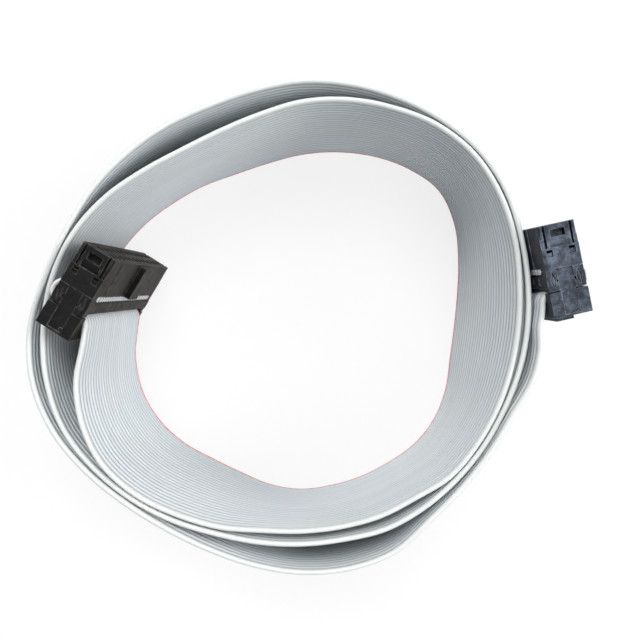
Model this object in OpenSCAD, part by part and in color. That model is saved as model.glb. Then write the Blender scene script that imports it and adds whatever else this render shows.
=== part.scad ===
// A flat ribbon cable, coiled on its edge, with a press-on socket and strain relief at each end.
// Millimetres. The coil rests on z = 0 and the origin is the middle of its footprint.

/* [Ribbon] */
// Number of conductors, one for each pin of a socket
ways = 26; // [10:2:26]
// Spacing of the conductors across the ribbon
conductor_pitch = 1.27; // [1.2:0.01:1.6]
// Thickness of the ribbon over its conductors
ribbon_t = 0.9; // [0.7:0.05:1]
// Bevel along the ribbon's two edges
ribbon_bevel = 0.25; // [0.1:0.05:0.3]

/* [Socket] */
// Thickness of a socket across its two rows of pins
socket_t = 6.1; // [5.8:0.1:7.4]
// Height of the socket body, from its mating face to the ribbon
body_h = 6.6; // [6.2:0.1:8]
// Length of each end cheek, past the ribbon's edge
cheek_l = 2.29; // [2.2:0.05:3]
// Spacing of the two rows of pins
row_pitch = 2.54; // [2.2:0.02:3.1]
// Width of the square pin holes
pin_hole = 0.9; // [0.8:0.05:1.2]
// Width of the polarising key, along the socket
key_w = 5.2; // [3.6:0.1:6.4]
// How far the key stands out of the body
key_out = 1.1; // [0.8:0.05:2]

/* [Cover and strain relief] */
// Height of the cover that the ribbon is folded round
cover_h = 2.5; // [2.4:0.1:3.2]
// Rounding of the cover's long edges
cover_round = 0.6; // [0.5:0.05:0.9]
// Height of the strain relief's bar
relief_h = 3.5; // [3:0.1:4.4]
// Rounding of the bar where the ribbon leaves it
relief_round = 1.5; // [1:0.1:1.8]
// Width of the strain relief's end tongues
tongue_w = 2.4; // [2:0.1:2.8]
// Thickness of the tongues and of the cover's legs, along the socket
tongue_t = 1.1; // [0.9:0.05:1.3]

/* [Contacts] */
// Thickness of the stamped contact
contact_t = 0.35; // [0.3:0.05:0.42]
// Width of each piercing tine
tine_w = 0.3; // [0.25:0.01:0.32]
// Slot between the tines, which holds one conductor
tine_slot = 0.3; // [0.25:0.01:0.32]

/* [Fit] */
// Clearance between pieces that seat on each other
fit = 0.05; // [0.03:0.01:0.1]

/* [Hidden] */
// Where the coil and the sockets stand: a socket's place is the middle of its mating face's coil side
coil_axis = [-0.3, 0];
left_place = [-28.363, 11.434];
left_heading = 238;
left_turn = 75;
right_place = [35.628, 16.864];
right_heading = 283;
right_turn = 88;
// Lean of each socket, its cable side down, and the run in which the ribbon comes down to the floor
lean = 4.2;
ramp_l = 70;

// Radius of the ribbon's upper edge, a point every 11.25 degrees anticlockwise, from the left
turn_points = 32;
first_point = 17;
turn_radii = [
    36.9, 38.7, 39.3, 38.3, 36.6, 35.1, 33.6, 33.1, 33.0, 33.2, 33.3, 34.2, 34.3, 34.5, 34.8, 35.4,
    36.3, 37.7, 39.0, 39.9, 39.8, 38.9, 38.0, 36.9, 35.5, 34.8, 35.0, 36.4, 38.5, 40.4, 41.6, 42.2,
    42.6, 42.4, 41.1, 39.5, 37.9, 36.4, 35.6, 35.2, 35.1, 35.5, 35.4, 35.3, 35.4, 35.6, 36.2, 36.9,
    37.7, 38.8, 40.2, 41.0, 41.0, 40.8, 40.6, 40.3, 39.6, 39.3, 39.8, 40.4, 41.1, 41.7, 42.8, 44.4,
    44.9, 44.1, 42.4, 40.7, 39.6, 39.2, 39.4, 39.8, 39.9, 39.4, 37.5, 36.7, 36.5, 36.8];
// How much further out the lower edge runs, at the same angles, from the right
foot_out = [
    -3.3, -2.9, -1.9, -0.1, 1.1, 0.7, 0.4, -0.1, -0.3, 0.0, 0.5, 1.3, 1.2, 0.9, 0.6, -0.1,
    -1.1, -2.1, -3.4, -4.4, -4.4, -3.9, -2.6, -0.4, 0.5, 0.4, 0.2, 0.2, -0.3, -0.6, -1.6, -2.9];
// The ribbon between each socket and the coil: x, y and how much further out the lower edge runs
lead_in = [[-35.3, -1.9, -1.05], [-35.8, -4.4, -1.25]];
lead_out = [[37.0, -7.95, -1.4], [37.9, -3.55, -0.8], [37.8, 0.45, -0.2]];
spline_steps = 2;
fold_steps = 8;

// Sizes that follow from the values above
pin_pitch = 2 * conductor_pitch;
columns = ways / 2;
ribbon_w = ways * conductor_pitch;
socket_l = ribbon_w + 2 * cheek_l;
ribbon_1 = body_h + fit + ribbon_t / 2;
cover_z = body_h + ribbon_t + 2 * fit;
ribbon_2 = cover_z + cover_h + fit + ribbon_t / 2;
relief_z = cover_z + cover_h + ribbon_t + 2 * fit;
socket_h = relief_z + relief_h;
fold_r = (ribbon_2 - ribbon_1) / 2;
fold_y = socket_t / 2 - 0.65;
end_x = socket_l / 2;
side_y = socket_t / 2;
socket_rise = end_x * cos(lean) + socket_h * sin(lean);

// Joints of the end cheeks: body to cover, and cover to strain relief
cheek_x = ribbon_w / 2 + 2 * fit;
cheek_z = body_h + 0.4;
cover_end_z = cover_z + cover_h + 0.3;
relief_end_z = cover_end_z + 0.2;

// Latches in the end cheeks
leg_in = 1.35;
leg_w = 0.9;
leg_x = [end_x - 1 - tongue_t, end_x - 0.1 - tongue_t];
leg_tip = 3.95;
hook_x = end_x - 0.3;
hook_h = 1;
latch_x = end_x - tongue_t;
tongue_tip = cheek_z + 2 * fit;
tongue_sink = 0.2;
barb_w = 0.3;
barb_z = [cover_z + 1.1, cover_z + 1.7];

// Contact, from the mating face up
beam_x = 0.85;
beam_w = 0.42;
grip_gap = 0.5;
grip_z = 1.5;
beam_tip = 0.75;
beam_root = 3.5;
plate_z = 4.3;
slot_z = 5.4;
tine_tip = cover_z + 0.35;
chamber_z = 0.6;
chamber_t = 0.9;
step_z = 4;

contact_ids = [for (n = [1:ways]) n];

// ---- Layout of a socket: x runs along it to way 1, y to its key, z up from its mating face ----

function odd(n) = n % 2 == 1;
function conductor_x(n) = ((ways + 1) / 2 - n) * conductor_pitch;
function pin_x(n) = ((columns + 1) / 2 - ceil(n / 2)) * pin_pitch;
function row_y(n) = (odd(n) ? 1 : -1) * row_pitch / 2;

// Puts the piece at way n, with its tines on the side where that way's conductor lies
module at_way(n) {
    translate([pin_x(n), row_y(n), 0]) mirror([odd(n) ? 0 : 1, 0, 0]) children();
}

module both_ends() {
    children();
    mirror([1, 0, 0]) children();
}

module both_sides() {
    children();
    mirror([0, 1, 0]) children();
}

// Stands a socket on its end, leaning with its cable side down. Side is 1 if its key faces the coil's side.
module stand(place, heading, side) {
    translate([place[0], place[1], socket_rise]) rotate([0, 90 + lean, heading])
        translate([0, -side * side_y, 0]) children();
}

module left() { stand(left_place, left_heading, 1) children(); }
module right() { stand(right_place, right_heading, -1) children(); }

// ---- Ribbon ----

// A point of the socket's frame, in the cable's frame
function placed(p, place, heading, side) =
    let (
        h = [cos(heading), sin(heading)],
        across = (p[1] - side * side_y) * [-h[1], h[0]],
        run = p[2] * cos(lean) - p[0] * sin(lean))
    [place[0] + run * h[0] + across[0],
     place[1] + run * h[1] + across[1],
     socket_rise - p[0] * cos(lean) - p[2] * sin(lean)];

// The ribbon's way through a socket, in y and z: under the cover, round it, and out again
function fold(side, turn) =
    let (
        fold_mid = (ribbon_1 + ribbon_2) / 2,
        exit_r = relief_round + fit + ribbon_t / 2,
        exit_y = side_y - relief_round,
        exit_z = ribbon_2 + exit_r)
    concat(
        [[side * side_y, ribbon_1]],
        [for (i = [0:fold_steps]) let (a = 180 * i / fold_steps)
            [-side * (fold_y + fold_r * sin(a)), fold_mid - fold_r * cos(a)]],
        [for (i = [0:fold_steps / 2]) let (a = turn * 2 * i / fold_steps)
            [side * (exit_y + exit_r * sin(a)), exit_z - exit_r * cos(a)]]);

// A station is the ribbon's lower edge and upper edge at one place: six numbers
function socket_station(p, place, heading, side) = concat(
    placed([ribbon_w / 2, p[0], p[1]], place, heading, side),
    placed([-ribbon_w / 2, p[0], p[1]], place, heading, side));

function rim_height(foot_z, out) = foot_z + sqrt(ribbon_w * ribbon_w - out * out);

// Height of the lower edge at a distance from the nearer socket, with its lower corner clear of z = 0
exit_z = socket_rise - ribbon_w / 2 * cos(lean) - ribbon_2 * sin(lean);
function foot_height(distance, out) =
    exit_z * pow(max(0, 1 - distance / ramp_l), 2)
    + (ribbon_t / 2 - ribbon_bevel) * abs(out) / ribbon_w;

function outward(p) = let (v = p - coil_axis) v / norm(v);
function free_station(p, out, distance) =
    let (foot = p + out * outward(p), foot_z = foot_height(distance, out))
    [foot[0], foot[1], foot_z, p[0], p[1], rim_height(foot_z, out)];

function run_length(points, i) = i <= 0 ? 0 : norm(points[i] - points[i - 1]) + run_length(points, i - 1);

coil_points = [for (i = [0:len(turn_radii) - 1])
    let (a = (first_point + i) * 360 / turn_points)
    coil_axis + turn_radii[i] * [cos(a), sin(a)]];
coil_out = [for (i = [0:len(turn_radii) - 1]) foot_out[(first_point + i) % turn_points]];

in_points = [for (p = lead_in) [p[0], p[1]]];
out_points = [for (p = lead_out) [p[0], p[1]]];
free_points = concat(in_points, coil_points, out_points);
free_out = concat([for (p = lead_in) p[2]], coil_out, [for (p = lead_out) p[2]]);
free_last = len(free_points) - 1;
free_run = run_length(free_points, free_last);
exit_gap = 4;
free_stations = [for (i = [0:free_last])
    let (d = run_length(free_points, i))
    free_station(free_points[i], free_out[i], exit_gap + min(d, free_run - d))];

left_fold = [for (p = fold(1, left_turn)) socket_station(p, left_place, left_heading, 1)];
right_fold = [for (p = fold(-1, right_turn)) socket_station(p, right_place, right_heading, -1)];
left_last = len(left_fold) - 1;
right_last = len(right_fold) - 1;

// The free stretch, with the last station of each fold at its ends
knots = concat([left_fold[left_last]], free_stations, [right_fold[right_last]]);
knot_last = len(knots) - 1;

function rim(s) = [s[3], s[4], s[5]];
function chord(a, b) = norm(rim(b) - rim(a));

// Slope at a knot, from its neighbours, for a curve that passes through unevenly spaced knots
function slope(a, b, c) =
    let (u = chord(a, b), v = chord(b, c))
    (b - a) / u - (c - a) / (u + v) + (c - b) / v;
function knot_slope(i) =
    i == 0 ? end_slope(left_fold, left_last) :
    i == knot_last ? -end_slope(right_fold, right_last) :
    slope(knots[i - 1], knots[i], knots[i + 1]);
function end_slope(run, last) = (run[last] - run[last - 1]) / chord(run[last - 1], run[last]);

function between(i, t) =
    let (
        a = knots[i], b = knots[i + 1], d = chord(a, b),
        ma = knot_slope(i) * d, mb = knot_slope(i + 1) * d)
    a * (2 * t * t * t - 3 * t * t + 1) + ma * (t * t * t - 2 * t * t + t)
    + b * (3 * t * t - 2 * t * t * t) + mb * (t * t * t - t * t);

free_curve = [for (i = [0:knot_last - 1], k = [1:spline_steps])
    if (i < knot_last - 1 || k < spline_steps) between(i, k / spline_steps)];
stations = concat(left_fold, free_curve, [for (i = [right_last:-1:0]) right_fold[i]]);
station_last = len(stations) - 1;

function foot(s) = [s[0], s[1], s[2]];
function middle(s) = (foot(s) + rim(s)) / 2;
function unit(v) = v / norm(v);

// Half the ribbon's section, as width and thickness from the middle of one edge
edge_section = [
    [ribbon_bevel, -ribbon_t / 2], [0, ribbon_bevel - ribbon_t / 2],
    [0, ribbon_t / 2 - ribbon_bevel], [ribbon_bevel, ribbon_t / 2]];

function ring(i) =
    let (
        s = stations[i],
        along = middle(stations[min(i + 1, station_last)]) - middle(stations[max(i - 1, 0)]),
        up = unit(rim(s) - foot(s)),
        across = unit(cross(along, up)))
    concat(
        [for (p = edge_section) foot(s) + p[0] * up + p[1] * across],
        [for (p = edge_section) rim(s) - p[0] * up - p[1] * across]);

module ribbon_band() {
    sides = 2 * len(edge_section);
    points = [for (i = [0:station_last], p = ring(i)) p];
    skin = [for (i = [0:station_last - 1], k = [0:sides - 1])
        let (a = i * sides + k, b = i * sides + (k + 1) % sides)
        each [[a, b, a + sides], [b, b + sides, a + sides]]];
    first_cap = [for (k = [sides - 1:-1:0]) k];
    last_cap = [for (k = [0:sides - 1]) station_last * sides + k];
    polyhedron(points, concat(skin, [first_cap, last_cap]));
}

// The slits that the tines of way n cut in the ribbon, one on each side of its conductor
module tine_slits(n) {
    cut = 0.02;
    for (side = [-1, 1])
        translate([conductor_x(n) + side * (tine_slot + tine_w) / 2, row_y(n), ribbon_1])
            cube([tine_w + 2 * cut, contact_t + 2 * cut, ribbon_t + 2 * fit], center = true);
}

module ribbon() {
    color("#CDD2D5") difference() {
        ribbon_band();
        left() for (n = contact_ids) tine_slits(n);
        right() for (n = contact_ids) tine_slits(n);
    }
}

// Grooves for the ribbon's conductors, in a face at height z with its plastic below (-1) or above (1)
module conductor_grooves(z, plastic) {
    groove_r = 0.5;
    groove_d = 0.2;
    for (n = contact_ids)
        translate([conductor_x(n), 0, z - plastic * (groove_r - groove_d)]) rotate([90, 0, 0])
            cylinder(r = groove_r, h = socket_t + 1, center = true, $fn = 24);
}

// ---- Contacts ----

module contact_outline() {
    tine_x = conductor_pitch / 2;
    in_1 = tine_x - tine_slot / 2;
    in_2 = tine_x + tine_slot / 2;
    shoulder = 0.35;
    polygon([
        [-beam_x, beam_tip + 0.15], [-beam_x + 0.2, beam_tip], [-grip_gap / 2, grip_z],
        [beam_w - beam_x, grip_z + 0.7], [beam_w - beam_x, beam_root], [-0.2, beam_root + 0.3],
        [0.2, beam_root + 0.3], [beam_x - beam_w, beam_root], [beam_x - beam_w, grip_z + 0.7],
        [grip_gap / 2, grip_z], [beam_x - 0.2, beam_tip], [beam_x, beam_tip + 0.15],
        [beam_x, plate_z - 0.2], [in_2 + tine_w, plate_z],
        [in_2 + tine_w, tine_tip - shoulder], [in_2 + tine_w / 2, tine_tip],
        [in_2, tine_tip - shoulder], [in_2, slot_z], [in_1, slot_z],
        [in_1, tine_tip - shoulder], [in_1 - tine_w / 2, tine_tip],
        [in_1 - tine_w, tine_tip - shoulder], [in_1 - tine_w, plate_z + 0.6], [-beam_x, plate_z + 0.3]]);
}

module contact(n) {
    color("#C8B27A") at_way(n)
        translate([0, contact_t / 2, 0]) rotate([90, 0, 0]) linear_extrude(contact_t) contact_outline();
}

// ---- Socket body ----

// A square funnel that leads a pin into its hole
module pin_funnel() {
    mouth = pin_hole + 0.6;
    depth = 0.35;
    intersection() {
        translate([0, mouth / 2, 0]) rotate([90, 0, 0]) linear_extrude(mouth) funnel_outline(mouth, depth);
        translate([-mouth / 2, 0, 0]) rotate([90, 0, 90]) linear_extrude(mouth) funnel_outline(mouth, depth);
    }
}

module funnel_outline(mouth, depth) {
    polygon([[-mouth / 2, 0], [mouth / 2, 0], [pin_hole / 2, depth], [-pin_hole / 2, depth]]);
}

// The hole, the spring chamber and the narrow slot that holds one contact
module contact_cavity() {
    room = 0.1;
    tine_end = conductor_pitch / 2 + tine_slot / 2 + tine_w;
    pin_funnel();
    translate([-pin_hole / 2, -pin_hole / 2, 0]) cube([pin_hole, pin_hole, chamber_z]);
    translate([-beam_x - room, -chamber_t / 2, chamber_z])
        cube([2 * (beam_x + room), chamber_t, step_z - chamber_z]);
    translate([-beam_x - fit, -contact_t / 2 - fit, step_z])
        cube([beam_x + tine_end + 2 * fit, contact_t + 2 * fit, body_h - step_z]);
}

// What is cut away from one end cheek: window, ramp, post grooves, and room for the cover's legs and hooks
module cheek_cuts() {
    window = [1.2, 2.3, 1.2];
    window_z = 0.85;
    ramp_w = 3.2;
    ramp_z = [2.15, 3.6];
    ramp_d = 0.4;
    groove_y = 1.95;
    groove_w = 0.4;
    translate([end_x - window[0], -window[1] / 2, window_z]) cube([window[0] + 1, window[1], window[2]]);
    translate([0, ramp_w / 2, 0]) rotate([90, 0, 0]) linear_extrude(ramp_w)
        polygon([[end_x + 1, ramp_z[0] + 0.2], [end_x, ramp_z[0] + 0.2], [end_x - ramp_d, ramp_z[1]],
            [end_x + 1, ramp_z[1]]]);
    both_sides() {
        translate([end_x - 0.9, groove_y, -1]) cube([2, groove_w, 1 + ramp_z[1]]);
        translate([end_x - 0.15, groove_y, ramp_z[0]]) cube([1, side_y, ramp_z[1] - ramp_z[0]]);
        translate([leg_x[0] - fit, leg_in - fit, leg_tip - fit])
            cube([leg_x[1] - leg_x[0] + 2 * fit, leg_w + 2 * fit, body_h]);
        translate([leg_x[1], leg_in - fit, leg_tip - fit]) cube([2, leg_w + 2 * fit, hook_h + 2 * fit]);
        translate([end_x, side_y, -1]) rotate([0, 0, 45]) cube([0.6, 0.6, 6.3], center = true);
    }
}

module socket_body() {
    end_step = 0.1;
    mid_l = (columns - 2) * pin_pitch;
    key_z = 0.4;
    color("#26282A") difference() {
        union() {
            translate([-end_x, -side_y + end_step, 0]) cube([socket_l, socket_t - 2 * end_step, body_h]);
            both_ends() translate([cheek_x, -side_y + end_step, body_h - 1])
                cube([end_x - cheek_x, socket_t - 2 * end_step, cheek_z - body_h + 1]);
            translate([-mid_l / 2, -side_y, 0]) cube([mid_l, socket_t, body_h]);
            translate([-key_w / 2, 0, key_z]) cube([key_w, side_y + key_out, body_h - key_z]);
        }
        for (n = contact_ids) at_way(n) contact_cavity();
        conductor_grooves(body_h, -1);
        both_ends() cheek_cuts();
    }
}

// ---- Cover ----

module rounded_bar(w, h, r) {
    translate([-w / 2, r]) square([w, h - 2 * r]);
    translate([-w / 2 + r, 0]) square([w - 2 * r, h]);
    for (x = [r - w / 2, w / 2 - r], y = [r, h - r]) translate([x, y]) circle(r, $fn = 32);
}

// One leg of the cover, with the hook that holds it in the socket body
module cover_leg() {
    root = cheek_z + 2 * fit;
    translate([0, leg_in + leg_w, 0]) rotate([90, 0, 0]) linear_extrude(leg_w)
        polygon([
            [leg_x[0], root], [leg_x[0], leg_tip], [leg_x[1], leg_tip], [hook_x, leg_tip + 0.4],
            [hook_x, leg_tip + hook_h], [leg_x[1], leg_tip + hook_h], [leg_x[1], root]]);
}

// The block at the cover's end, which fills the socket's outline between body and strain relief
module cover_cheek() {
    translate([cheek_x, -side_y + 0.1, cheek_z + fit])
        cube([end_x - fit - cheek_x, socket_t - 0.2, cover_end_z - cheek_z - fit]);
}

// Room in the cover's end for the tongue and the barbs of the strain relief
module tongue_notch() {
    neck = tongue_w / 2 + fit;
    wide = neck + barb_w;
    translate([latch_x - fit, -neck, cheek_z - 1]) cube([tongue_t + 1, 2 * neck, cover_end_z]);
    translate([latch_x - fit, -wide, barb_z[0] - fit])
        cube([tongue_t + 1, 2 * wide, barb_z[1] - barb_z[0] + 2 * fit]);
}

// A shallow groove round the leaf spring that is moulded beside the tongue
module leaf_groove() {
    leaf = [0.42, 1.35];
    groove = [0.17, 0.45];
    translate([end_x - 0.3, 2.05, (cheek_z + cover_end_z) / 2]) rotate([90, 0, 90]) linear_extrude(1)
        difference() {
            diamond(leaf);
            diamond(leaf - groove);
        }
}

module diamond(half) {
    polygon([[-half[0], 0], [0, -half[1]], [half[0], 0], [0, half[1]]]);
}

module cover() {
    rib_w = 0.5;
    rib_d = 0.1;
    pocket_w = tine_slot + 2 * tine_w + 2 * fit;
    color("#26282A") difference() {
        union() {
            translate([fit - end_x, 0, cover_z]) rotate([90, 0, 90]) linear_extrude(socket_l - 2 * fit)
                rounded_bar(socket_t, cover_h, cover_round);
            both_ends() {
                cover_cheek();
                both_sides() cover_leg();
            }
        }
        both_ends() {
            tongue_notch();
            both_sides() leaf_groove();
        }
        conductor_grooves(cover_z, 1);
        conductor_grooves(cover_z + cover_h, -1);
        for (n = contact_ids) translate([conductor_x(n), row_y(n), cover_z])
            cube([pocket_w, contact_t + 2 * fit, 2 * (tine_tip + fit - cover_z)], center = true);
        both_sides() for (c = [1:2:ways]) translate([pin_x(c), side_y, cover_z])
            cube([rib_w, 2 * rib_d, 3.2], center = true);
    }
}

// ---- Strain relief ----

// The bar's section between the cheeks, rounded where the ribbon leaves it
module relief_outline() {
    translate([-side_y, relief_round]) square([socket_t, relief_h - relief_round]);
    translate([-side_y + relief_round, 0]) square([socket_t - 2 * relief_round, relief_h]);
    for (s = [-1, 1]) translate([s * (side_y - relief_round), relief_round]) circle(relief_round, $fn = 48);
}

module tongue() {
    half = tongue_w / 2;
    top = relief_z + 0.5;
    translate([latch_x, 0, 0]) rotate([90, 0, 90]) linear_extrude(tongue_t - tongue_sink)
        polygon([
            [-half, top], [-half, barb_z[1]], [-half - barb_w, barb_z[1]], [-half, barb_z[0]],
            [-half, tongue_tip + 0.2], [-half + 0.2, tongue_tip], [half - 0.2, tongue_tip],
            [half, tongue_tip + 0.2], [half, barb_z[0]], [half + barb_w, barb_z[1]], [half, barb_z[1]],
            [half, top]]);
}

module strain_relief() {
    rib = [ribbon_w - 3, 2.8, 1];
    gate = [0.6, 1.25, socket_h - 0.85];
    color("#26282A") difference() {
        union() {
            translate([-cheek_x, 0, relief_z]) rotate([90, 0, 90]) linear_extrude(2 * cheek_x)
                relief_outline();
            both_ends() {
                translate([cheek_x, -side_y, relief_end_z])
                    cube([end_x - cheek_x, socket_t, socket_h - relief_end_z]);
                tongue();
            }
            translate([-rib[0] / 2, -rib[1] / 2, socket_h - 0.5]) cube([rib[0], rib[1], rib[2] + 0.5]);
        }
        both_ends() difference() {
            translate([end_x - tongue_sink, -tongue_w / 2, relief_end_z - 1])
                cube([1, tongue_w, socket_h - 0.35 - relief_end_z + 1]);
            translate([end_x - 1, gate[1] - gate[0] / 2, gate[2]]) rotate([0, 90, 0])
                cylinder(d = gate[0], h = 0.9, $fn = 16);
        }
    }
}

ribbon();
left() socket_body();  // left_socket_body
left() cover();  // left_cover
left() strain_relief();  // left_strain_relief
right() socket_body();  // right_socket_body
right() cover();  // right_cover
right() strain_relief();  // right_strain_relief
for (n = contact_ids) {
    left() contact(n);
    right() contact(n);
}
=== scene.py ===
import math

import bpy
import numpy as np
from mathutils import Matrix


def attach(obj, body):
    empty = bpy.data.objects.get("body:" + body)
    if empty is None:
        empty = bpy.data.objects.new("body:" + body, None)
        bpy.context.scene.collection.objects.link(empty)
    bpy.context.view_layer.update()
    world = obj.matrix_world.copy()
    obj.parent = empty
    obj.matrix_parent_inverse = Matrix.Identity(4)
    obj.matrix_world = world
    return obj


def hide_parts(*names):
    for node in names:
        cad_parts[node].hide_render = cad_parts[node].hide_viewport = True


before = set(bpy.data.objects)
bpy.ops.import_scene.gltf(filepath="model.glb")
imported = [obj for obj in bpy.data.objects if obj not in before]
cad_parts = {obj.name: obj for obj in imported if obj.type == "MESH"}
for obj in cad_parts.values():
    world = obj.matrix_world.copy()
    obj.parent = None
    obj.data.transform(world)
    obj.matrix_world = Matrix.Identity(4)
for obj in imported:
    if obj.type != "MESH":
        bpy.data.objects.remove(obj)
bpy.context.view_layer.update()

# A flat ribbon cable, coiled on its edge, with a press-on socket and a strain relief at each end.
# Blender works in metres. Sizes here are in millimetres and go through MM, but for those marked.
MM = 0.001

# ---- Camera: straight above, a little off the coil's middle ----

CAMERA_AT = (-1.1, -0.8, 150)

camera_data = bpy.data.cameras.new("camera")
camera_data.lens = 40.5
camera_data.sensor_width = 36
camera_data.shift_x = 0.0359
camera_data.shift_y = 0.0203
camera_data.clip_start = 0.005
camera_data.clip_end = 5
camera = bpy.data.objects.new("camera", camera_data)
camera.location = [c * MM for c in CAMERA_AT]
bpy.context.scene.collection.objects.link(camera)
bpy.context.scene.camera = camera

# ---- The ribbon's route: the same points as the CAD solid's, sampled more finely ----

# The ribbon: its conductors, their spacing and its section
WAYS = 26
PITCH = 1.27
RIBBON_W = WAYS * PITCH
RIBBON_T = 0.9
RIBBON_BEVEL = 0.25
# The sockets: the sizes that the ribbon's way through them follows, and how far they lean from upright
SOCKET_T = 6.1
BODY_H = 6.6
COVER_H = 2.5
RELIEF_ROUND = 1.5
RELIEF_H = 3.5
CHEEK_L = 2.29
FIT = 0.05
LEAN = math.radians(4.2)
# Where they stand, the way each one faces, and how far the ribbon turns as it leaves
LEFT_PLACE, LEFT_HEADING, LEFT_TURN = (-30.95, 13.05), math.radians(238), math.radians(75)
RIGHT_PLACE, RIGHT_HEADING, RIGHT_TURN = (38.6, 17.55), math.radians(283), math.radians(88)

# Heights in a socket, from its mating face: the ribbon under the cover, the cover, the ribbon over it
RIBBON_1 = BODY_H + FIT + RIBBON_T / 2
COVER_Z = BODY_H + RIBBON_T + 2 * FIT
RIBBON_2 = COVER_Z + COVER_H + FIT + RIBBON_T / 2
RELIEF_Z = COVER_Z + COVER_H + RIBBON_T + 2 * FIT
SOCKET_H = RELIEF_Z + RELIEF_H
SIDE_Y = SOCKET_T / 2
FOLD_R = (RIBBON_2 - RIBBON_1) / 2
FOLD_INSET = 0.65
FOLD_Y = SIDE_Y - FOLD_INSET
END_X = RIBBON_W / 2 + CHEEK_L
SOCKET_RISE = END_X * math.cos(LEAN) + SOCKET_H * math.sin(LEAN)
# How high the ribbon leaves a socket, the run before its first free point, and the run over which it
# comes down to the floor
EXIT_Z = SOCKET_RISE - RIBBON_W / 2 * math.cos(LEAN) - RIBBON_2 * math.sin(LEAN)
EXIT_GAP = 4
RAMP_L = 70

# Radius of the upper edge about the coil's axis, a point every 11.25 degrees anticlockwise, from the left
COIL_AXIS = np.array([-0.3, 0.0])
POINT_ANGLE = 11.25
FIRST_POINT = 17
TURN_RADII = [
    36.9, 38.7, 39.3, 38.3, 36.6, 35.1, 33.6, 33.1, 33.0, 33.2, 33.3, 34.2, 34.3, 34.5, 34.8, 35.4,
    36.3, 37.7, 39.0, 39.9, 39.8, 38.9, 38.0, 36.9, 35.5, 34.8, 35.0, 36.4, 38.5, 40.4, 41.6, 42.2,
    42.6, 42.4, 41.1, 39.5, 37.9, 36.4, 35.6, 35.2, 35.1, 35.5, 35.4, 35.3, 35.4, 35.6, 36.2, 36.9,
    37.7, 38.8, 40.2, 41.0, 41.0, 40.8, 40.6, 40.3, 39.6, 39.3, 39.8, 40.4, 41.1, 41.7, 42.8, 44.4,
    44.9, 44.1, 42.4, 40.7, 39.6, 39.2, 39.4, 39.8, 39.9, 39.4, 37.5, 36.7, 36.5, 36.8]
# How much further out the lower edge runs, at the same angles, from the right
FOOT_OUT = [
    -3.3, -2.9, -1.9, -0.1, 1.1, 0.7, 0.4, -0.1, -0.3, 0.0, 0.5, 1.3, 1.2, 0.9, 0.6, -0.1,
    -1.1, -2.1, -3.4, -4.4, -4.4, -3.9, -2.6, -0.4, 0.5, 0.4, 0.2, 0.2, -0.3, -0.6, -1.6, -2.9]
# Between each socket and the coil: x, y and how much further out the lower edge runs
LEAD_IN = [(-35.3, -1.9, -1.05), (-35.8, -4.4, -1.25)]
LEAD_OUT = [(37.0, -7.95, -1.4), (37.9, -3.55, -0.8), (37.8, 0.45, -0.2)]

# How finely the route is sampled: points in each stretch inside a socket, and millimetres outside
UNDER_COVER, ROUND_FOLD, OVER_COVER, ROUND_EXIT = 7, 19, 6, 12
STATION_GAP = 1.5


def in_cable_frame(p, place, heading):
    """A point of a socket's own frame, in the cable's frame."""
    along = np.array([math.cos(heading), math.sin(heading)])
    across = np.array([-along[1], along[0]])
    run = p[2] * math.cos(LEAN) - p[0] * math.sin(LEAN)
    flat = np.array(place) + run * along + p[1] * across
    return np.array([*flat, SOCKET_RISE - p[0] * math.cos(LEAN) - p[2] * math.sin(LEAN)])


def fold_stations(side, turn, place, heading):
    """The ribbon inside a socket: under the cover, round it and out again.

    A station is the lower edge's point and the upper edge's."""
    middle = (RIBBON_1 + RIBBON_2) / 2
    exit_r = RELIEF_ROUND + FIT + RIBBON_T / 2
    exit_y = SIDE_Y - RELIEF_ROUND
    section = [(y, RIBBON_1) for y in np.linspace(side * SIDE_Y, -side * FOLD_Y, UNDER_COVER)[:-1]]
    section += [(-side * (FOLD_Y + FOLD_R * math.sin(a)), middle - FOLD_R * math.cos(a))
                for a in np.linspace(0, math.pi, ROUND_FOLD)]
    section += [(y, RIBBON_2) for y in np.linspace(-side * FOLD_Y, side * exit_y, OVER_COVER)[1:-1]]
    section += [(side * (exit_y + exit_r * math.sin(a)), RIBBON_2 + exit_r - exit_r * math.cos(a))
                for a in np.linspace(0, turn, ROUND_EXIT)]
    return [np.concatenate([in_cable_frame((end * RIBBON_W / 2, y, z), place, heading) for end in (1, -1)])
            for y, z in section]


def free_stations():
    """The stations that the coil follows between the sockets."""
    coil, coil_out = [], []
    for i, radius in enumerate(TURN_RADII, FIRST_POINT):
        angle = math.radians(i * POINT_ANGLE)
        coil.append(COIL_AXIS + radius * np.array([math.cos(angle), math.sin(angle)]))
        coil_out.append(FOOT_OUT[i % len(FOOT_OUT)])
    points = [np.array(p[:2]) for p in LEAD_IN] + coil + [np.array(p[:2]) for p in LEAD_OUT]
    outs = [p[2] for p in LEAD_IN] + coil_out + [p[2] for p in LEAD_OUT]
    run = np.concatenate([[0], np.cumsum(np.linalg.norm(np.diff(points, axis=0), axis=1))])
    made = []
    for p, out, d in zip(points, outs, run):
        outward = (p - COIL_AXIS) / np.linalg.norm(p - COIL_AXIS)
        distance = EXIT_GAP + min(d, run[-1] - d)
        foot_z = (EXIT_Z * max(0, 1 - distance / RAMP_L) ** 2
                  + (RIBBON_T / 2 - RIBBON_BEVEL) * abs(out) / RIBBON_W)
        foot = p + out * outward
        made.append(np.array([*foot, foot_z, *p, foot_z + math.sqrt(RIBBON_W ** 2 - out ** 2)]))
    return made


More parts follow.
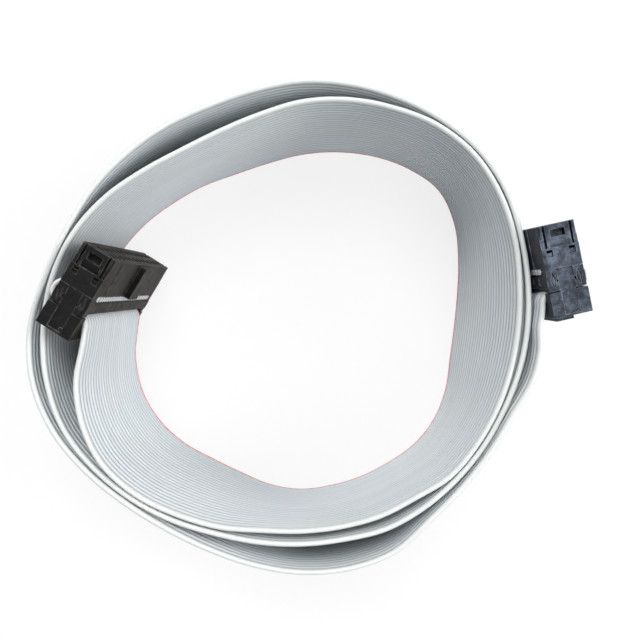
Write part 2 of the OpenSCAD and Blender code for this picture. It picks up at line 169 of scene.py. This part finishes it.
def smooth_run(knots, first_slope, last_slope):
    """Stations on one smooth curve through unevenly spaced knots."""
    chords = [np.linalg.norm(b[3:] - a[3:]) for a, b in zip(knots, knots[1:])]
    slopes = [first_slope]
    for a, b, c, u, v in zip(knots, knots[1:], knots[2:], chords, chords[1:]):
        slopes.append((b - a) / u - (c - a) / (u + v) + (c - b) / v)
    slopes.append(last_slope)
    made = []
    for a, b, d, ma, mb in zip(knots, knots[1:], chords, slopes, slopes[1:]):
        for t in np.linspace(0, 1, max(2, round(d / STATION_GAP)) + 1)[1:]:
            made.append(a * (2 * t ** 3 - 3 * t ** 2 + 1) + ma * d * (t ** 3 - 2 * t ** 2 + t)
                        + b * (3 * t ** 2 - 2 * t ** 3) + mb * d * (t ** 3 - t ** 2))
    return made[:-1]


def ribbon_stations():
    """The whole ribbon, from its cut end in the left socket to the one in the right socket, in metres."""
    left = fold_stations(1, LEFT_TURN, LEFT_PLACE, LEFT_HEADING)
    right = fold_stations(-1, RIGHT_TURN, RIGHT_PLACE, RIGHT_HEADING)
    out_slope = (left[-1] - left[-2]) / np.linalg.norm((left[-1] - left[-2])[3:])
    in_slope = (right[-2] - right[-1]) / np.linalg.norm((right[-1] - right[-2])[3:])
    free = smooth_run([left[-1], *free_stations(), right[-1]], out_slope, in_slope)
    return np.array(left + free + right[::-1]) * MM


STATIONS = ribbon_stations()
FEET, RIMS = STATIONS[:, :3], STATIONS[:, 3:]

# ---- Nodes and materials ----

# The depth of the skins' grain, and how wide the wear and painted highlight at a corner are
GRAIN_DEPTH = 0.03
RUBBED_AND_HIGHLIT_W = 0.2
# The printed stripe: how far up from the lower edge it reaches, how ragged it is, and its soft edge
INK_W = 0.7
INK_RAGGED = 0.3
INK_SOFT = 0.1


def linear(hex_colour):
    """An sRGB hex colour as the linear RGBA that Blender's sockets take."""
    parts = [int(hex_colour[i:i + 2], 16) / 255 for i in (1, 3, 5)]
    return [p / 12.92 if p <= 0.04045 else ((p + 0.055) / 1.055) ** 2.4 for p in parts] + [1.0]


def add_node(tree, kind, values=None, links=None, **settings):
    """Adds a node: settings are its properties, values fill its inputs, and links feed them."""
    node = tree.nodes.new(kind)
    for name, value in settings.items():
        setattr(node, name, value)
    for key, value in (values or {}).items():
        node.inputs[key].default_value = value
    for key, source in (links or {}).items():
        tree.links.new(source, node.inputs[key])
    return node


def new_material(name):
    """A material, its node tree and the tree's own shader."""
    material = bpy.data.materials.new(name)
    material.use_nodes = True
    tree = material.node_tree
    return material, tree, tree.nodes["Principled BSDF"]


# Every Map Range node eases in and out of its range
SOFTLY = {"interpolation_type": "SMOOTHSTEP"}


def extruded_pvc():
    """Flexible PVC, extruded over the cores: satin, faintly streaked along its length, greyer in the
    grooves between the conductors with painted shade, with a stripe of red ink along its lower edge."""
    material, tree, shader = new_material("ribbon_extruded_pvc")
    place = add_node(tree, "ShaderNodeTexCoord").outputs["Object"]
    at = add_node(tree, "ShaderNodeAttribute", attribute_name="ribbon_at").outputs["Vector"]
    across = add_node(tree, "ShaderNodeSeparateXYZ", links={0: at}).outputs[1]
    # 1 at a groove between two conductors and 0 on a ridge: it paints the shade in the grooves. The two outer
    # edges have no groove.
    lane = add_node(tree, "ShaderNodeMath", {1: PITCH * MM}, {0: across}, operation="DIVIDE").outputs[0]
    to_groove = add_node(tree, "ShaderNodeMath", {1: 0.5}, {0: lane}, operation="PINGPONG").outputs[0]
    painted_groove_shade = add_node(tree, "ShaderNodeMapRange", {1: 0.15, 2: 0.31, 3: 1, 4: 0}, {0: to_groove}, **SOFTLY)
    centred = add_node(tree, "ShaderNodeMath", {1: WAYS / 2}, {0: lane}, operation="SUBTRACT").outputs[0]
    off_middle = add_node(tree, "ShaderNodeMath", links={0: centred}, operation="ABSOLUTE").outputs[0]
    inside = add_node(tree, "ShaderNodeMapRange", {1: WAYS / 2 - 0.6, 2: WAYS / 2 - 0.4, 3: 1, 4: 0},
                      {0: off_middle}, **SOFTLY)
    painted_groove_shade = add_node(tree, "ShaderNodeMath", links={0: painted_groove_shade.outputs[0], 1: inside.outputs[0]},
                      operation="MULTIPLY")
    # Streaks from the die, 0.3 mm wide and 60 mm long, and clouds 20 mm wide
    drawn_out = add_node(tree, "ShaderNodeVectorMath", {1: (16, 3300, 0)}, {0: at}, operation="MULTIPLY")
    streaks = add_node(tree, "ShaderNodeTexNoise", {"Scale": 1, "Detail": 2}, {"Vector": drawn_out.outputs[0]})
    streaked = add_node(tree, "ShaderNodeMapRange", {1: 0.35, 2: 0.65}, {0: streaks.outputs[0]}, **SOFTLY)
    clouds = add_node(tree, "ShaderNodeTexNoise", {"Scale": 50, "Detail": 3}, {"Vector": place})
    clouded = add_node(tree, "ShaderNodeMapRange", {1: 0.4, 2: 0.7, 4: 0.3}, {0: clouds.outputs[0]}, **SOFTLY)
    # The upper edge is a little warmer, from hands and light
    upper = add_node(tree, "ShaderNodeMapRange",
                     {1: (RIBBON_W - 2.5) * MM, 2: (RIBBON_W - 0.8) * MM, 4: 0.6}, {0: across}, **SOFTLY)
    # The printed stripe covers the ridge of the first conductor, with an edge that wanders every 0.8 mm
    ragged = add_node(tree, "ShaderNodeTexNoise", {"Scale": 1200, "Detail": 2}, {"Vector": place})
    edge = add_node(tree, "ShaderNodeMath", {1: INK_RAGGED * MM, 2: INK_W * MM}, {0: ragged.outputs[0]},
                    operation="MULTIPLY_ADD")
    covered = add_node(tree, "ShaderNodeMath", links={0: edge.outputs[0], 1: across}, operation="SUBTRACT")
    ink = add_node(tree, "ShaderNodeMapRange", {2: INK_SOFT * MM}, {0: covered.outputs[0]}, **SOFTLY)
    # The colours, each laid over the one before by its share
    colour = add_node(tree, "ShaderNodeMix", {6: linear("#D9DFE3"), 7: linear("#CED5DA")},
                      {0: streaked.outputs[0]}, data_type="RGBA").outputs[2]
    # The grooves' grey is painted shade
    for share, tint in ((clouded, "#D9D9D3"), (upper, "#DBDDD9"), (painted_groove_shade, "#AAAEB2"), (ink, "#D2434F")):
        colour = add_node(tree, "ShaderNodeMix", {7: linear(tint)}, {0: share.outputs[0], 6: colour},
                          data_type="RGBA").outputs[2]
    tree.links.new(colour, shader.inputs["Base Color"])
    satin = add_node(tree, "ShaderNodeMapRange", {1: 0.3, 2: 0.7, 3: 0.34, 4: 0.46}, {0: streaks.outputs[0]},
                     **SOFTLY)
    tree.links.new(satin.outputs[0], shader.inputs["Roughness"])
    # The extruded skin's faint grain, 0.25 mm across
    grain = add_node(tree, "ShaderNodeTexNoise", {"Scale": 4000, "Detail": 2}, {"Vector": place})
    bump = add_node(tree, "ShaderNodeBump", {"Strength": 0.15, "Distance": GRAIN_DEPTH * MM},
                    {"Height": grain.outputs[0]})
    tree.links.new(bump.outputs[0], shader.inputs["Normal"])
    shader.inputs["IOR"].default_value = 1.53
    return material


def moulded_pbt(name, dark, worn_and_highlit_tint, dust_and_sheen_tint, dust_and_sheen_on_sides, dust_and_sheen_on_top, roughness):
    """Glass-filled black PBT, injection moulded: a low satin shine, a fine eroded grain, edges rubbed paler
    and painted with a highlight, fine scratches from handling, and a film of dust and painted sheen with its
    own share on the sides and on the top."""
    material, tree, shader = new_material(name)
    place = add_node(tree, "ShaderNodeTexCoord").outputs["Object"]
    # Mottle 1.1 mm across in the plastic, and a film of dust and painted sheen in patches of 4.5 mm
    mottle = add_node(tree, "ShaderNodeTexNoise", {"Scale": 900, "Detail": 4, "Roughness": 0.65},
                      {"Vector": place}).outputs[0]
    film = add_node(tree, "ShaderNodeTexNoise", {"Scale": 220, "Detail": 5, "Roughness": 0.7},
                    {"Vector": place}).outputs[0]
    mottled = add_node(tree, "ShaderNodeMapRange", {1: 0.35, 2: 0.65}, {0: mottle}, **SOFTLY)
    # Scratches 0.1 mm wide and 4 mm long, along x, which is aslant to both sockets
    aslant = add_node(tree, "ShaderNodeMapping", {"Rotation": (0.3, 0.5, 0.7), "Scale": (250, 9000, 9000)},
                      {"Vector": place})
    scratches = add_node(tree, "ShaderNodeTexNoise", {"Scale": 1, "Detail": 1}, {"Vector": aslant.outputs[0]})
    scratched = add_node(tree, "ShaderNodeMapRange", {1: 0.66, 2: 0.74, 4: 0.35}, {0: scratches.outputs[0]},
                         **SOFTLY)
    # The corners that hands and neighbours rub, in broken lines, painted paler both as wear and as a highlight
    rounded = add_node(tree, "ShaderNodeBevel", {"Radius": RUBBED_AND_HIGHLIT_W * MM}, samples=6).outputs[0]
    normal = add_node(tree, "ShaderNodeNewGeometry").outputs["Normal"]
    same = add_node(tree, "ShaderNodeVectorMath", links={0: rounded, 1: normal}, operation="DOT_PRODUCT")
    corner = add_node(tree, "ShaderNodeMapRange", {1: 0.8, 2: 0.99, 3: 1, 4: 0}, {0: same.outputs["Value"]},
                      **SOFTLY)
    broken = add_node(tree, "ShaderNodeMapRange", {1: 0.38, 2: 0.6, 3: 0.25}, {0: mottle}, **SOFTLY)
    rubbed_and_highlit = add_node(tree, "ShaderNodeMath", links={0: corner.outputs[0], 1: broken.outputs[0]},
                      operation="MULTIPLY")
    # Dust and painted sheen, laid by how far a face looks up, thick and thin in patches, with specks in it
    upward = add_node(tree, "ShaderNodeSeparateXYZ", links={0: normal}).outputs[2]
    dust_and_sheen_by_facing = add_node(tree, "ShaderNodeMapRange", {1: 0.4, 2: 0.9, 3: dust_and_sheen_on_sides, 4: dust_and_sheen_on_top},
                      {0: upward}, **SOFTLY)
    speckled = add_node(tree, "ShaderNodeMapRange", {1: 0.4, 2: 0.6, 3: 0.55, 4: 1.15}, {0: mottle}, **SOFTLY)
    dust_and_sheen = add_node(tree, "ShaderNodeMapRange", {1: 0.4, 2: 0.62, 3: 0.2}, {0: film}, **SOFTLY)
    for share in (dust_and_sheen_by_facing, speckled):
        dust_and_sheen = add_node(tree, "ShaderNodeMath", links={0: dust_and_sheen.outputs[0], 1: share.outputs[0]},
                         operation="MULTIPLY")
    # The colours, each laid over the one before by its share
    colour = add_node(tree, "ShaderNodeMix", {6: linear(dark[0]), 7: linear(dark[1])},
                      {0: mottled.outputs[0]}, data_type="RGBA").outputs[2]
    # The dust tint paints sheen as well as dust
    # The worn tint is wear and a painted highlight
    for share, tint in ((dust_and_sheen, dust_and_sheen_tint), (scratched, dust_and_sheen_tint), (rubbed_and_highlit, worn_and_highlit_tint)):
        colour = add_node(tree, "ShaderNodeMix", {7: linear(tint)}, {0: share.outputs[0], 6: colour},
                          data_type="RGBA").outputs[2]
    tree.links.new(colour, shader.inputs["Base Color"])
    satin = add_node(tree, "ShaderNodeMapRange", {1: 0.3, 2: 0.7, 3: roughness - 0.1, 4: roughness + 0.1},
                     {0: film}, **SOFTLY)
    tree.links.new(satin.outputs[0], shader.inputs["Roughness"])
    # The mould's eroded grain, drawn 0.2 mm across so that it shows: the real one is finer
    grain = add_node(tree, "ShaderNodeTexNoise", {"Scale": 5000, "Detail": 3}, {"Vector": place})
    bump = add_node(tree, "ShaderNodeBump", {"Strength": 0.25, "Distance": GRAIN_DEPTH * MM},
                    {"Height": grain.outputs[0], "Normal": rounded})
    tree.links.new(bump.outputs[0], shader.inputs["Normal"])
    shader.inputs["IOR"].default_value = 1.55
    # The glass fibres at the surface break up most of its shine
    shader.inputs["Specular IOR Level"].default_value = 0.15
    return material


def plated_metal(name, colour, marked, roughness):
    """Bronze strip or copper wire, rolled or drawn, then tin plated: bright, with fine lines and dull spots."""
    material, tree, shader = new_material(name)
    place = add_node(tree, "ShaderNodeTexCoord").outputs["Object"]
    # Lines 0.17 mm wide and 2.5 mm long, and dull spots 0.7 mm across
    drawn_out = add_node(tree, "ShaderNodeMapping", {"Scale": (6000, 6000, 400)}, {"Vector": place})
    lines = add_node(tree, "ShaderNodeTexNoise", {"Scale": 1, "Detail": 2}, {"Vector": drawn_out.outputs[0]})
    spots = add_node(tree, "ShaderNodeTexNoise", {"Scale": 1500, "Detail": 3}, {"Vector": place})
    spotted = add_node(tree, "ShaderNodeMapRange", {1: 0.5, 2: 0.7}, {0: spots.outputs[0]}, **SOFTLY)
    plated = add_node(tree, "ShaderNodeMix", {6: linear(colour), 7: linear(marked)}, {0: spotted.outputs[0]},
                      data_type="RGBA")
    tree.links.new(plated.outputs[2], shader.inputs["Base Color"])
    lined = add_node(tree, "ShaderNodeMapRange", {1: 0.3, 2: 0.7, 3: roughness - 0.08, 4: roughness + 0.1},
                     {0: lines.outputs[0]}, **SOFTLY)
    tree.links.new(lined.outputs[0], shader.inputs["Roughness"])
    shader.inputs["Metallic"].default_value = 1
    return material


ribbon_pvc = extruded_pvc()
# The two sockets are one plastic with painted light: one has a painted brown sheen on its sides, the other has
# pale blue dust and painted sheen on its upper end
left_pbt = moulded_pbt("left_socket_moulded_pbt", dark=("#060708", "#0E0F10"), worn_and_highlit_tint="#6E6D69",
                       dust_and_sheen_tint="#4A3C2C", dust_and_sheen_on_sides=0.36, dust_and_sheen_on_top=0.02, roughness=0.6)
# The right socket's paler, bluer black and bluer worn tint are the same plastic with a painted blue reflection
right_pbt = moulded_pbt("right_socket_moulded_pbt", dark=("#0E1118", "#1A1F29"), worn_and_highlit_tint="#939DA9",
                        dust_and_sheen_tint="#667080", dust_and_sheen_on_sides=0.03, dust_and_sheen_on_top=0.8, roughness=0.5)
bronze = plated_metal("contact_tin_plated_bronze", colour="#D8C6A0", marked="#B5A079", roughness=0.32)
tinned_copper = plated_metal("core_tinned_copper", colour="#C8C4BD", marked="#A39C92", roughness=0.35)

# ---- Ribbon: one tube for each conductor, bonded along its webs ----

# From the middle plane: the top of a ridge, and half the web between two ridges
RIDGE_R = 0.45
WEB_HALF = 0.18


def lane_profile(first_edge=False, last_edge=False):
    """One conductor's section, as wide as the pitch. Its webs are cut at the middle; an outer edge is round."""
    half = PITCH / 2
    inner = [(0, RIDGE_R), (0.15, 0.425), (0.27, 0.36), (0.36, 0.27), (0.45, 0.2), (half, WEB_HALF)]
    edge = [(0, RIDGE_R), (0.2, 0.442), (0.4, 0.38), (0.53, 0.27), (0.61, 0.14), (half, 0.03)]
    foot_side = edge if first_edge else inner
    rim_side = edge if last_edge else inner
    top = [(-x, y) for x, y in reversed(foot_side)] + rim_side[1:]
    # Anticlockwise, so that the swept faces point outwards
    return [(x, -y) for x, y in top] + top[::-1]


def profile_object(name, points):
    """A closed flat curve through points in millimetres."""
    curve = bpy.data.curves.new(name, "CURVE")
    curve.dimensions = "3D"
    spline = curve.splines.new("POLY")
    spline.points.add(len(points) - 1)
    for point, (x, y) in zip(spline.points, points):
        point.co = (x * MM, y * MM, 0, 1)
    spline.use_cyclic_u = True
    made = bpy.data.objects.new(name, curve)
    bpy.context.scene.collection.objects.link(made)
    return made


def new_tree(name, inputs, result):
    """A Geometry Nodes tree with named inputs and one result, and what its inputs give."""
    tree = bpy.data.node_groups.new(name, "GeometryNodeTree")
    for title, kind in inputs.items():
        tree.interface.new_socket(title, in_out="INPUT", socket_type=f"NodeSocket{kind}")
    tree.interface.new_socket(result, in_out="OUTPUT", socket_type="NodeSocketGeometry")
    return tree, add_node(tree, "NodeGroupInput").outputs


def finish_tree(tree, given, geometry):
    """Ends a tree: the geometry made real, in its material."""
    real = add_node(tree, "GeometryNodeRealizeInstances", links={"Geometry": geometry})
    finished = add_node(tree, "GeometryNodeSetMaterial", links={
        "Geometry": real.outputs[0], "Material": given["Material"]})
    add_node(tree, "NodeGroupOutput", links={0: finished.outputs[0]})
    return tree


def lane_tree():
    """Sweeps a profile along one lane of the ribbon, from its lower edge to its upper edge."""
    tree, given = new_tree("ribbon_lane", {
        "Route": "Geometry", "Lane": "Float", "Lanes": "Float", "Pitch": "Float", "Profile": "Object",
        "Material": "Material"}, "Lane mesh")
    rim = add_node(tree, "GeometryNodeInputNamedAttribute", {"Name": "rim"}, data_type="FLOAT_VECTOR")
    foot = add_node(tree, "GeometryNodeInputPosition")
    share = add_node(tree, "ShaderNodeMath", links={0: given["Lane"], 1: given["Lanes"]}, operation="DIVIDE")
    up = add_node(tree, "ShaderNodeVectorMath", links={0: rim.outputs[0], 1: foot.outputs[0]},
                  operation="SUBTRACT")
    keep_up = add_node(tree, "GeometryNodeCaptureAttribute", links={"Geometry": given["Route"]})
    keep_up.capture_items.new("VECTOR", "Up")
    tree.links.new(up.outputs[0], keep_up.inputs["Up"])
    centre = add_node(tree, "ShaderNodeVectorMath", links={0: up.outputs[0], "Scale": share.outputs[0]},
                      operation="SCALE")
    moved = add_node(tree, "GeometryNodeSetPosition", links={
        "Geometry": keep_up.outputs["Geometry"], "Offset": centre.outputs[0]})
    path = add_node(tree, "GeometryNodeMeshToCurve", links={"Mesh": moved.outputs[0]})
    turned = add_node(tree, "GeometryNodeSetCurveNormal", links={"Curve": path.outputs[0]}, mode="FREE")
    tree.links.new(keep_up.outputs["Up"], turned.inputs["Normal"])
    run = add_node(tree, "GeometryNodeSplineParameter").outputs["Length"]
    keep_run = add_node(tree, "GeometryNodeCaptureAttribute", links={"Geometry": turned.outputs[0]})
    keep_run.capture_items.new("FLOAT", "Run")
    tree.links.new(run, keep_run.inputs["Run"])
    section = add_node(tree, "GeometryNodeObjectInfo", links={"Object": given["Profile"]})
    keep_section = add_node(tree, "GeometryNodeCaptureAttribute", links={
        "Geometry": section.outputs["Geometry"]})
    keep_section.capture_items.new("VECTOR", "Section")
    tree.links.new(foot.outputs[0], keep_section.inputs["Section"])
    swept = add_node(tree, "GeometryNodeCurveToMesh", {"Fill Caps": True},
                     {"Curve": keep_run.outputs["Geometry"], "Profile Curve": keep_section.outputs["Geometry"]})
    # Where each point of the surface lies on the ribbon: along it, and up from its lower edge
    section_at = add_node(tree, "ShaderNodeSeparateXYZ", links={0: keep_section.outputs["Section"]})
    across = add_node(tree, "ShaderNodeMath", operation="MULTIPLY_ADD", links={
        0: given["Lane"], 1: given["Pitch"], 2: section_at.outputs[0]})
    at = add_node(tree, "ShaderNodeCombineXYZ", links={
        0: keep_run.outputs["Run"], 1: across.outputs[0], 2: section_at.outputs[1]})
    stored = add_node(tree, "GeometryNodeStoreNamedAttribute", {"Name": "ribbon_at"},
                      {"Geometry": swept.outputs[0], "Value": at.outputs[0]}, data_type="FLOAT_VECTOR")
    smooth = add_node(tree, "GeometryNodeSetShadeSmooth", links={"Geometry": stored.outputs[0]})
    return finish_tree(tree, given, smooth.outputs[0])


def route_object():
    """The lower edge as a chain of edges that carries the upper edge's points with it."""
    mesh = bpy.data.meshes.new("route")
    mesh.from_pydata([tuple(p) for p in FEET], [(i, i + 1) for i in range(len(FEET) - 1)], [])
    rim = mesh.attributes.new("rim", "FLOAT_VECTOR", "POINT")
    rim.data.foreach_set("vector", RIMS.astype(np.float32).ravel())
    made = bpy.data.objects.new("route", mesh)
    bpy.context.scene.collection.objects.link(made)
    return made


def made_by_nodes(name, base, tree, inputs):
    """The plain mesh that a node tree makes from a base object, as a new object."""
    modifier = base.modifiers.new(tree.name, "NODES")
    modifier.node_group = tree
    for item in tree.interface.items_tree:
        if item.in_out == "INPUT" and item.name in inputs:
            modifier[item.identifier] = inputs[item.name]
    base.update_tag()
    bpy.context.view_layer.update()
    evaluated = base.evaluated_get(bpy.context.evaluated_depsgraph_get())
    mesh = bpy.data.meshes.new_from_object(evaluated)
    base.modifiers.remove(modifier)
    mesh.name = name
    made = bpy.data.objects.new(name, mesh)
    bpy.context.scene.collection.objects.link(made)
    return made


route = route_object()
sweep = lane_tree()
middle_profile = profile_object("profile_middle", lane_profile())
first_profile = profile_object("profile_first", lane_profile(first_edge=True))
last_profile = profile_object("profile_last", lane_profile(last_edge=True))
for n in range(1, WAYS + 1):
    profile = first_profile if n == 1 else last_profile if n == WAYS else middle_profile
    lane = made_by_nodes(f"ribbon_conductor_{n}", route, sweep, {
        "Lane": n - 0.5, "Lanes": float(WAYS), "Pitch": PITCH * MM, "Profile": profile,
        "Material": ribbon_pvc})
    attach(lane, "root")
    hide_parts("ribbon")
for helper in (route, middle_profile, first_profile, last_profile):
    bpy.data.objects.remove(helper)

# ---- Cores: tinned copper, 0.38 mm across, just showing at the two cut ends ----

CORE_R = 0.19
CORE_SHOWS = 0.03


def core_tree():
    """A short stub of wire on each point, all in one direction."""
    tree, given = new_tree("core_ends", {
        "Points": "Geometry", "Direction": "Vector", "Core radius": "Float", "Stub length": "Float",
        "Material": "Material"}, "Cores")
    stub = add_node(tree, "GeometryNodeMeshCylinder", {"Vertices": 12},
                    {"Radius": given["Core radius"], "Depth": given["Stub length"]})
    aimed = add_node(tree, "FunctionNodeAlignRotationToVector", links={"Vector": given["Direction"]},
                     axis="Z")
    placed = add_node(tree, "GeometryNodeInstanceOnPoints", links={
        "Points": given["Points"], "Instance": stub.outputs["Mesh"], "Rotation": aimed.outputs[0]})
    return finish_tree(tree, given, placed.outputs[0])


cores = core_tree()
for side, end, inside in (("left", 0, 1), ("right", -1, -2)):
    mesh = bpy.data.meshes.new("core_points")
    mesh.from_pydata([tuple(FEET[end] + (RIMS[end] - FEET[end]) * ((n - 0.5) / WAYS))
                      for n in range(1, WAYS + 1)], [], [])
    points = bpy.data.objects.new("core_points", mesh)
    bpy.context.scene.collection.objects.link(points)
    outward = FEET[end] - FEET[inside]
    ends = made_by_nodes(f"{side}_core_ends", points, cores, {
        "Direction": [float(c) for c in outward / np.linalg.norm(outward)],
        "Core radius": CORE_R * MM, "Stub length": 2 * CORE_SHOWS * MM, "Material": tinned_copper})
    bpy.data.objects.remove(points)
    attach(ends, "root")

# ---- Sockets and contacts ----

for name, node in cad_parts.items():
    if name == "ribbon":
        continue
    material = bronze if "contact" in name else left_pbt if name.startswith("left") else right_pbt
    node.data.materials.clear()
    node.data.materials.append(material)

# ---- Floor, light and view ----

# In metres: the floor's half width, its top just under the cable, and the lamps' size and distance
FLOOR_HALF = 2
FLOOR_Z = -0.0001
LAMP_ACROSS = 0.4
LAMP_AWAY = 0.8


def rays_that_see(tree):
    """1 for the camera, reflections and what shows through, 0 for the light that falls on the object."""
    rays = add_node(tree, "ShaderNodeLightPath").outputs
    seen = add_node(tree, "ShaderNodeMath", links={0: rays["Is Camera Ray"], 1: rays["Is Glossy Ray"]},
                    operation="ADD")
    return add_node(tree, "ShaderNodeMath", links={0: seen.outputs[0], 1: rays["Is Transmission Ray"]},
                    operation="ADD", use_clamp=True).outputs[0]


floor_mesh = bpy.data.meshes.new("floor")
floor_corners = [(-1, -1), (1, -1), (1, 1), (-1, 1)]
floor_mesh.from_pydata([(x * FLOOR_HALF, y * FLOOR_HALF, FLOOR_Z) for x, y in floor_corners],
                       [], [(0, 1, 2, 3)])
floor = bpy.data.objects.new("floor", floor_mesh)
bpy.context.scene.collection.objects.link(floor)
floor_material, floor_tree, floor_shader = new_material("floor_white_paper")
floor_shader.inputs["Roughness"].default_value = 0.9
floor_shader.inputs["Specular IOR Level"].default_value = 0.0
floor_shader.inputs["Base Color"].default_value = linear("#F3F3F3")
# White to the camera and in reflections, with a share of the lit paper near the object that keeps its shadow
floor_at = add_node(floor_tree, "ShaderNodeTexCoord").outputs["Object"]
distance = add_node(floor_tree, "ShaderNodeVectorMath", links={0: floor_at}, operation="LENGTH")
whiteness = add_node(floor_tree, "ShaderNodeMapRange", {1: 0.1, 2: 0.5, 3: 0.8, 4: 1},
                     {0: distance.outputs["Value"]}, **SOFTLY)
share = add_node(floor_tree, "ShaderNodeMath", links={0: rays_that_see(floor_tree), 1: whiteness.outputs[0]},
                 operation="MULTIPLY")
white = add_node(floor_tree, "ShaderNodeEmission", {"Color": linear("#FFFFFF"), "Strength": 1})
both = add_node(floor_tree, "ShaderNodeMixShader", links={
    0: share.outputs[0], 1: floor_shader.outputs[0], 2: white.outputs[0]})
floor_tree.links.new(both.outputs[0], floor_tree.nodes["Material Output"].inputs["Surface"])
floor.data.materials.append(floor_material)

# A white room under a dark ceiling: bright from the sides, so that dark plastic isn't veiled from above
world = bpy.data.worlds.new("studio")
world.use_nodes = True
world_tree = world.node_tree
room = world_tree.nodes["Background"]
room.inputs["Color"].default_value = linear("#FFFFFF")
direction = add_node(world_tree, "ShaderNodeTexCoord").outputs["Generated"]
height = add_node(world_tree, "ShaderNodeSeparateXYZ", links={0: direction}).outputs[2]
lights = add_node(world_tree, "ShaderNodeMapRange", {1: 0.25, 2: 0.85, 3: 0.38, 4: 0.15}, {0: height}, **SOFTLY)
shows = add_node(world_tree, "ShaderNodeMapRange", {1: 0.35, 2: 0.85, 3: 1, 4: 0.22}, {0: height}, **SOFTLY)
strength = add_node(world_tree, "ShaderNodeMix", links={
    0: rays_that_see(world_tree), 2: lights.outputs[0], 3: shows.outputs[0]})
world_tree.links.new(strength.outputs[0], room.inputs["Strength"])
bpy.context.scene.world = world


def area_lamp(name, azimuth, elevation, watts):
    """A round soft box that faces the cable, at an angle round from x and an angle up, in degrees."""
    data = bpy.data.lights.new(name, "AREA")
    data.shape = "DISK"
    data.size = LAMP_ACROSS
    data.energy = watts
    lamp = bpy.data.objects.new(name, data)
    across, up = math.radians(azimuth), math.radians(elevation)
    lamp.location = [LAMP_AWAY * c for c in (
        math.cos(across) * math.cos(up), math.sin(across) * math.cos(up), math.sin(up))]
    lamp.rotation_euler = (-lamp.location).to_track_quat("-Z", "Y").to_euler()
    bpy.context.scene.collection.objects.link(lamp)


area_lamp("key_lamp", 90, 65, 3.6)
area_lamp("low_lamp", 0, 35, 3.0)
area_lamp("side_lamp", 135, 35, 1.7)
area_lamp("fill_lamp", 315, 65, 1.6)

bpy.context.scene.view_settings.view_transform = "Standard"
